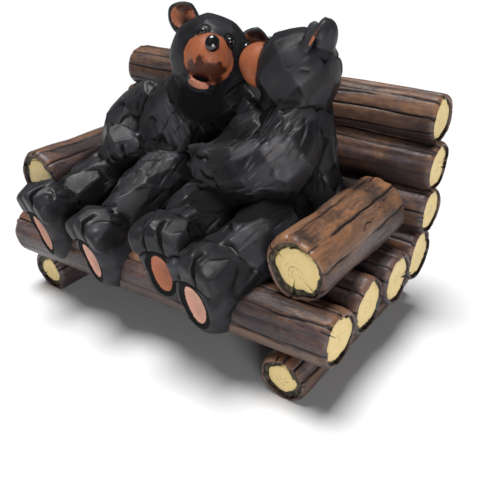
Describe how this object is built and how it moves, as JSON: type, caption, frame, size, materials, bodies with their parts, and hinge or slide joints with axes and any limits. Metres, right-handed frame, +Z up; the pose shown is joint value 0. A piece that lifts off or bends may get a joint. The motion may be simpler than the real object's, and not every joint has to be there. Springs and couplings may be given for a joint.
{
  "type": "bear figurine",
  "caption": "Cast figurine of bears cuddling on a log bench, standing on its foot logs.",
  "frame": {"origin": "middle of the figurine's footprint, at the flat undersides of the foot logs", "axes": "+X to the right end of the bench seen from its front, +Y to its back, +Z up; the bears' feet point to -Y"},
  "size_m": [0.1144, 0.0741, 0.0805],
  "materials": {
    "painted_resin": "painted cast resin, charcoal bears with a satin sheen",
    "bark_paint": "washed brown and purple-grey bark paint",
    "cut_wood_paint": "cream yellow paint on the sawn log ends",
    "tan_paint": "tan and pink paint on muzzles, ears and pads",
    "gloss_black": "glossy black eyes and noses"
  },
  "bodies": {
    "root": {"bear_figurine": "painted_resin"}
  },
  "joints": []
}
